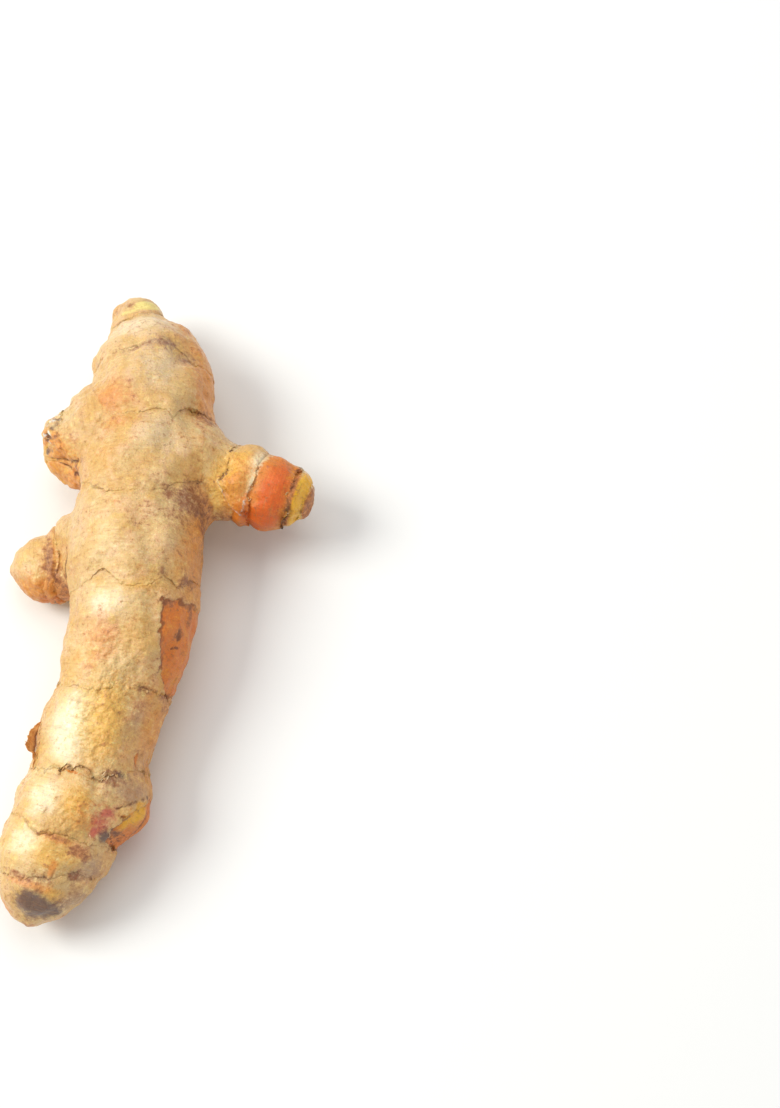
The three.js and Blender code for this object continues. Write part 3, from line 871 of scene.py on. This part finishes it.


# The skin: tan and ochre in clouds, each painted zone laid over with an edge that noise makes
# ragged, with painted warm reflected light on the shaded flanks and painted highlight on the lit side,
# fine specks, then dark lines in the cracks with painted shade in the creases and under the scale
# edges. Rings, fibres and grain are in the bump.
def skinMaterial():
    material, shader, graph = newMaterial("turmeric skin")
    place = graph.place()
    grainWay = graph.attribute("grain", "Vector")
    clouds = place.noise(0.11, 3)
    patches = place.noise(0.36, 4)
    mottle = place.noise(1.1, 5, 0.72)
    fine = place.noise(3.6, 3, 0.65)
    striae = grainWay.stretched((2.4, 0.2, 0.2)).noise(1, 4, 0.65)
    fibres = grainWay.stretched((0.14, 1.9, 1.9)).noise(1, 4, 0.65)
    ragged = (patches - 0.5) * 0.8 + (mottle - 0.5) * 1.3

    # How far a painted zone covers, with its edge frayed by the noise.
    def zone(name, low=0.15, high=0.85, edge=1):
        return (graph.attribute(name) + ragged * edge).step(low, high)

    peel = zone("peel", 0.4, 0.6, 0.6)
    # Stains, and painted shade under the base of the plump side finger.
    stainsAndShade = zone("stainsAndShade", 0.2, 0.95, 1.3)
    glossAndHighlight = graph.attribute("glossAndHighlight")
    layers = [
        ("pinkTan", patches.step(0.46, 0.66) * 0.45),
        # Pale zones, partly painted highlight on the lit upper left.
        ("pale", zone("pale") * 0.75),
        ("yellow", zone("yellow") * 0.65),
        ("orange", zone("blush") * 0.64),
        # Painted warm reflected light on the shaded flanks.
        ("paintedWarmBounce", zone("paintedWarmBounce", 0, 1) * 0.9),
        ("dull", zone("dull", 0.15, 1.1) * 0.7),
        ("lift", mottle.step(0.46, 0.3) * 0.5),
        ("shade", mottle.step(0.5, 0.72) * 0.42),
        ("orange", peel * 0.95),
        ("redOrange", peel * (zone("peel", 0.75, 1.4, 0.7) * 0.8)),
        ("shade", peel * (fibres * 0.5 + mottle).step(0.8, 1) * 0.7),
        ("yellow", peel * (patches + fine * 0.4).step(0.66, 0.5) * 0.25),
        ("flesh", zone("flesh", 0.35, 0.7, 0.5) * 0.9),
        ("gold", zone("gold", 0.3, 0.85, 0.8) * 0.95),
        ("mauve", stainsAndShade * 0.42),
        ("brown", stainsAndShade * (mottle + striae * 0.3).step(0.52, 0.8) * 0.8),
        ("brown", zone("rim", 0.4, 1, 1.2) * 0.8),
        ("pink", zone("pink") * 0.7),
        ("bruise", zone("bruise", 0.1, 1) * 0.9),
        ("white", zone("white", 0.3, 0.8) * 0.9),
        ("brown", zone("fresh", 0.3, 1, 1.3) * 0.4),
        ("speck", (mottle * 0.4 + fine * 0.6).step(0.54, 0.64) * 0.5),
        ("lift", (mottle * 0.3 + fine * 0.7).step(0.46, 0.36) * 0.45),
        ("lift", striae.step(0.54, 0.72) * 0.4),
        # Painted highlight: the colour is lifted towards white where the skin shines on its lit side.
        ("lift", glossAndHighlight * (0.5 + fine * 0.8)),
        ("shade", striae.step(0.46, 0.3) * 0.35),
        # Dark lines: cracks and scar lines, with painted shade in the creases and under the scale edges.
        ("cracksAndShade", (graph.attribute("cracksAndShade") + (mottle - 0.5) * 1.2).step(0.25, 0.9) * 0.85),
    ]
    colour = graph.mix(clouds.step(0.36, 0.62), skinColours["tan"], skinColours["ochre"])
    for name, factor in layers:
        colour = graph.mix(factor, colour, skinColours[name], "SOFT_LIGHT" if name == "lift" else "MIX")

    grains = graph.node("ShaderNodeTexVoronoi", {"feature": "SMOOTH_F1"}, {
        "Vector": place, "Scale": 1.9, "Smoothness": 0.4, "Randomness": 1.0})
    height = striae * 0.09 + fibres * 0.04 + mottle * 0.15 + fine * 0.07
    height = height + grains * (0.06 + graph.attribute("warty") * 0.16)
    height = height + peel * fibres * 0.06
    graph.feed(shader, {
        "Base Color": colour, "Normal": graph.bump(height),
        "Roughness": 0.27 + mottle * 0.26 + stainsAndShade * 0.12,
        "Coat Weight": peel * -0.16 + glossAndHighlight * 0.5 + 0.22, "Coat Roughness": 0.34,
        "Subsurface Weight": 0.14, "Subsurface Radius": (1.2, 0.4, 0.1), "Subsurface Scale": 0.0016,
    })
    return material


root.data.materials.clear()
root.data.materials.append(skinMaterial())
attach(root, "root")
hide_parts("turmeric_root")

print("torn scale leaf")
skinNormals = normalsOf(skinMesh)
# The loose flap on the left of the main finger: its line on the skin as places and angles, its
# height along that line, and the lean and the curl of its section in degrees.
scaleFlap = {
    "limb": "main", "line": [(82.6, 168), (85, 164), (87.5, 158), (89.5, 152), (91.8, 146)],
    "height": [(0, 0.1), (0.3, 1.8), (0.55, 2.7), (0.66, 2.7), (0.71, 1.2), (0.85, 0.7), (1, 0.2)],
    "toward": (0, 0, 1), "lean": -8, "curl": 60, "ragged": 0.04, "seed": 83, "thick": 0.2,
}
# Papery fringes left on the scale edges: limb, number of the ring, angles from and to, and height.
scaleFringes = [
    ("main", 6, 97, 109, 0.7), ("main", 6, 76, 94, 0.35), ("main", 6, 44, 64, 0.7),
    ("main", 7, 102, 122, 0.5), ("main", 2, 54, 68, 0.5), ("main", 3, 112, 134, 0.3),
    ("main", 4, 97, 118, 0.35), ("main", 5, 34, 52, 0.5), ("main", 4, 30, 52, 0.45),
    ("right", 1, 62, 150, 0.35), ("right", 2, 66, 170, 0.3), ("main", 6, 200, 300, 0.7),
    ("main", 4, 225, 300, 0.5), ("main", 2, 230, 310, 0.5), ("main", 1, 300, 340, 0.5),
    ("right", 2, 220, 300, 0.5),
]
# Pale fibres that curl off the skin: limb, place, angle and length.
fibreCurls = [
    ("main", 88.8, 60, 1.6), ("main", 89.4, 55, 1.3), ("main", 90.1, 58, 1.2), ("main", 88.7, 52, 1.1),
    ("main", 98.6, 50, 1.4), ("main", 97.2, 30, 1.2), ("right", 25.6, 140, 1), ("right", 19.4, 132, 0.9),
    ("stub", 15.6, 118, 1.2), ("stub", 16.8, 100, 1), ("main", 89, 250, 1.6), ("main", 41, 280, 1.4),
]


# The skin and its outward way at places and angles of a limb, as a mean weighted by nearness.
def onSkin(limb, along, angle):
    place = places[limb]
    reach = np.ptp(along) / 2 + 1.5
    mine = np.flatnonzero((place["own"] > 0.5) & (np.abs(place["along"] - along.mean()) < reach))
    ahead = place["along"][mine] - along[:, None]
    across = roundFrom({key: place[key][mine] for key in ("angle", "girth")}, angle[:, None])
    weight = np.exp(-(ahead**2 + across**2) / 0.35**2) + 1e-12
    weight /= weight.sum(1, keepdims=True)
    return weight @ points[mine], unit(weight @ skinNormals[mine])


# Points, triangles and rise of a tube made of loops; the rise is how far out from the skin a point is.
def closedTube(loops, ends, rise, endRise):
    rows, sides = loops.shape[:2]
    return np.vstack([loops.reshape(-1, 3), ends]), tubeTriangles(rows, sides), np.append(rise, endRise)


# A thin sheet grown from a line on the skin. Each section starts at the lean from the outward way
# and turns on by the curl; its two sides stand half the thickness off it, thinner towards the edge.
def sheetPoints(base, outward, toward, height, lean, curl, thick, steps=9):
    sideways = unit(np.cross(np.gradient(base, axis=0), outward))
    sideways = sideways * np.sign((sideways * toward).sum(1, keepdims=True))
    share = np.linspace(0, 1, steps)
    turn = np.radians(lean + curl * share)[None, :, None]
    step = outward[:, None] * np.cos(turn) + sideways[:, None] * np.sin(turn)
    offWay = sideways[:, None] * np.cos(turn) - outward[:, None] * np.sin(turn)
    middle = (base - 0.18 * outward)[:, None] + np.cumsum(step, axis=1) * height[:, None, None] / steps
    half = (thick / 2 * (1 - 0.6 * share))[None, :, None] * offWay
    loop = np.concatenate([middle + half, (middle - half)[:, ::-1]], axis=1)
    rise = np.tile(np.concatenate([share, share[::-1]]), len(base))
    return closedTube(loop, loop[[0, -1]].mean(1), rise, [0, 0])


def flapSheet(sheet, count=70):
    share = np.linspace(0, 1, count)
    knots = np.linspace(0, 1, len(sheet["line"]))
    along, angle = (np.interp(share, knots, values) for values in zip(*sheet["line"]))
    base, outward = onSkin(sheet["limb"], along, angle)
    height = np.interp(share, *zip(*sheet["height"]))
    height = height * (1 + sheet["ragged"] * roundNoise(360 * share, (7, 13, 22), sheet["seed"]))
    toward, lean, curl, thick = (sheet[key] for key in ("toward", "lean", "curl", "thick"))
    place, faces, rise = sheetPoints(base, outward, toward, height, lean, curl, thick)
    return place + 0.05 * lumps(place, 1.6, sheet["seed"])[:, None], faces, rise


def fringeSheet(limbName, number, start, end, height):
    limb, ring = limbs[limbName], limbs[limbName]["rings"][number]
    seed = limb["seed"] + 7 * number
    angle = np.linspace(start, end, int((end - start) * 2.2))
    edge, teeth = ringEdge(ring, angle, seed)
    along = ring["at"] + edge + teeth - 0.15
    base, outward = onSkin(limbName, along, angle)
    share = np.linspace(0, 1, len(angle))
    ragged = np.clip(0.6 + 0.5 * roundNoise(360 * share, (3, 7, 12, 19, 31), seed + start), 0.08, 1.5)
    tall = height * ragged * np.sqrt(np.clip(4 * share * (1 - share), 0.01, 1))
    toward = onAxis(axes[limbName], "forward", along)
    return sheetPoints(base, outward, toward, tall, 40, 40, 0.12, 6)


# A fibre leaves the skin and curls over on a circle; its thickness fades towards its end.
def curlTube(limbName, place, angle, length, rows=14, sides=6):
    base, outward = onSkin(limbName, np.array([place]), np.array([angle]))
    ahead = onAxis(axes[limbName], "forward", np.array([place]))
    way = np.random.default_rng(int(place * 10 + angle)).uniform(-1, 1)
    across = unit(np.cross(ahead, outward) * way + ahead * 0.6)
    turn = np.linspace(0.3, 3.4, rows)[:, None]
    circle = (1 - np.cos(turn)) * across + 0.8 * np.sin(turn) * outward
    line = base - 0.1 * outward + length / 3.1 * circle
    tangent = np.gradient(line, axis=0)
    first = unit(np.cross(tangent, np.cross(across, outward)))
    second = unit(np.cross(tangent, first))
    radius = 0.09 * (1 - 0.75 * np.linspace(0, 1, rows))[:, None, None]
    around = np.radians(np.arange(sides) * 360 / sides)[None, :, None]
    loop = line[:, None] + radius * (first[:, None] * np.cos(around) + second[:, None] * np.sin(around))
    return closedTube(loop, line[[0, -1]], np.repeat(np.linspace(0.6, 1, rows), sides), [0.6, 1])


def joinedSheets(sheets):
    spots, faces, rises = zip(*sheets)
    starts = np.cumsum([0] + [len(part) for part in spots])
    faces = np.vstack([part + start for part, start in zip(faces, starts)])
    return np.vstack(spots), faces, np.concatenate(rises)


# Dry scale leaf: two browns in streaks, darker where it leaves the skin, a darker colour there with painted
# shade of the gap beneath it.
def paper(name, light, dark, base):
    material, shader, graph = newMaterial(name)
    place = graph.place()
    cloud, fine = place.noise(0.8, 4, 0.65), place.noise(3.2, 3, 0.6)
    colour = graph.mix((cloud * 0.6 + fine * 0.4).step(0.4, 0.62), light, dark)
    nearSkinDarkAndShade = (graph.attribute("rise") + (fine - 0.5) * 0.3).step(0.3, 0.05)
    graph.feed(shader, {
        "Base Color": graph.mix(nearSkinDarkAndShade * 0.8, colour, base),
        "Roughness": 0.45 + fine * 0.25, "Normal": graph.bump(fine * 0.07 + cloud * 0.1),
    })
    return material


# A thin piece in its material; what would reach under the floor is laid on it.
def paperPiece(name, sheets, material):
    spots, faces, rise = joinedSheets(sheets)
    lowest = 0.05
    spots[:, 2] = np.maximum(spots[:, 2], lowest)
    piece = meshFrom(name, spots, faces)
    piece.data.attributes.new("rise", "FLOAT", "POINT").data.foreach_set("value", rise)
    piece.data.materials.append(material)
    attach(piece, "root")


flapPaper = paper("scale flap", (0.8, 0.42, 0.14, 1), (0.58, 0.22, 0.06, 1), (0.26, 0.08, 0.02, 1))
fringePaper = paper("scale fringe", (0.78, 0.5, 0.22, 1), (0.5, 0.24, 0.08, 1), (0.3, 0.11, 0.03, 1))
fibrePaper = paper("fibre", (0.88, 0.7, 0.45, 1), (0.7, 0.42, 0.2, 1), (0.7, 0.42, 0.2, 1))
paperPiece("scale_flap", [flapSheet(scaleFlap)], flapPaper)
paperPiece("scale_fringes", [fringeSheet(*fringe) for fringe in scaleFringes], fringePaper)
paperPiece("fibre_curls", [curlTube(*curl) for curl in fibreCurls], fibrePaper)

print("setting the stage")
floorSize = 3.0
half = floorSize / 2
corners = np.array([(-half, -half, 0), (half, -half, 0), (half, half, 0), (-half, half, 0)]) / mm
floor = meshFrom("floor", corners, np.array([(0, 1, 2, 3)]))
floorPaint, shader, graph = newMaterial("pale floor")
graph.feed(shader, {"Base Color": (0.92, 0.92, 0.92, 1), "Roughness": 0.7})
floor.data.materials.append(floorPaint)

elevation = math.radians(view["elevation"])
back = Vector((0, -math.cos(elevation), math.sin(elevation)))
camera = placed("camera", bpy.data.cameras.new("camera"))
camera.data.lens, camera.data.sensor_width = view["lens"], view["sensor"]
camera.data.clip_start = 0.01
camera.location = (Vector(view["aim"]) + back * view["distance"]) * mm
camera.rotation_mode = "QUATERNION"
camera.rotation_quaternion = (-back).to_track_quat("-Z", "Y")
bpy.context.scene.camera = camera


def softLight(name, place, size, power, colour):
    lamp = bpy.data.lights.new(name, "AREA")
    lamp.size, lamp.energy, lamp.color = size, power, colour
    stand = placed(name, lamp)
    stand.location = place
    stand.rotation_euler = Vector(place).to_track_quat("Z", "Y").to_euler()


softLight("key light", (-0.58, 0.08, 0.64), 0.42, 5.3, (0.98, 0.985, 0.93))
softLight("top light", (0.1, 0.4, 0.9), 0.8, 2.8, (0.99, 0.985, 0.95))
world = bpy.data.worlds.new("studio")
world.use_nodes = True
background = world.node_tree.nodes["Background"]
background.inputs["Color"].default_value = (1, 1, 1, 1)
background.inputs["Strength"].default_value = 0.5
bpy.context.scene.world = world
bpy.context.scene.view_settings.view_transform = "Standard"

print("done")
